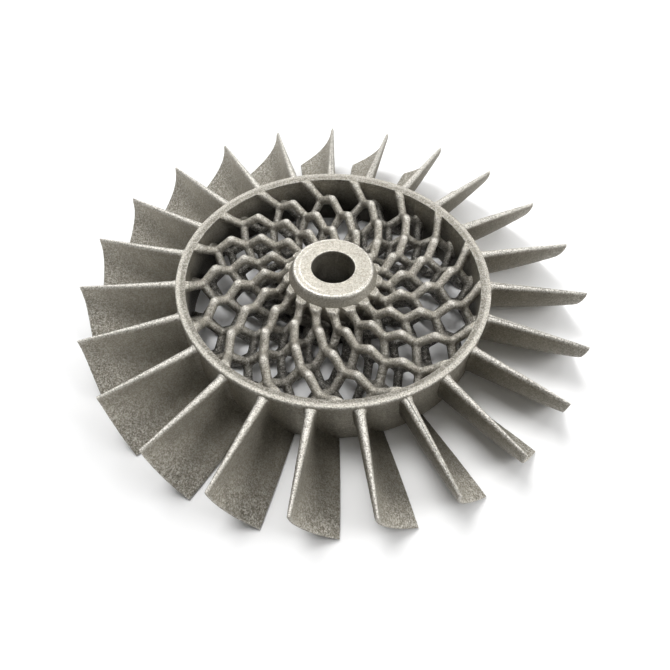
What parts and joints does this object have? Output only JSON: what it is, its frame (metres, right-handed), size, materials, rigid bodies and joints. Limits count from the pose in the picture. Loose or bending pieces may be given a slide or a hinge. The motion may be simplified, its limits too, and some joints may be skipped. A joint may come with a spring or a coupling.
{
  "type": "bladed turbine wheel",
  "caption": "One-piece printed metal turbine wheel: a bored hub, an open strut-lattice core, a thin rim ring and curved blades around it.",
  "frame": {"origin": "on the wheel's axis, at the level of its lower face, which is the floor it lies on", "axes": "+Z along the wheel's axis, out of the hub's raised end; in the picture +X points right and +Y away from the camera"},
  "size_m": [0.1497, 0.1494, 0.0204],
  "materials": {
    "core_metal": "as-sintered steel, matt warm grey with fine bright grains",
    "blade_metal": "as-sintered steel, matt warm grey with fine bright grains"
  },
  "bodies": {
    "root": {"hub": "core_metal", "rim_ring": "core_metal", "lattice_1": "core_metal", "lattice_2": "core_metal", "lattice_3": "core_metal", "lattice_4": "core_metal", "lattice_5": "core_metal", "lattice_6": "core_metal", "blade_01": "blade_metal", "blade_02": "blade_metal", "blade_03": "blade_metal", "blade_04": "blade_metal", "blade_05": "blade_metal", "blade_06": "blade_metal", "blade_07": "blade_metal", "blade_08": "blade_metal", "blade_09": "blade_metal", "blade_10": "blade_metal", "blade_11": "blade_metal", "blade_12": "blade_metal", "blade_13": "blade_metal", "blade_14": "blade_metal", "blade_15": "blade_metal", "blade_16": "blade_metal", "blade_17": "blade_metal", "blade_18": "blade_metal", "blade_19": "blade_metal", "blade_20": "blade_metal", "blade_21": "blade_metal", "blade_22": "blade_metal", "blade_23": "blade_metal"}
  },
  "joints": []
}
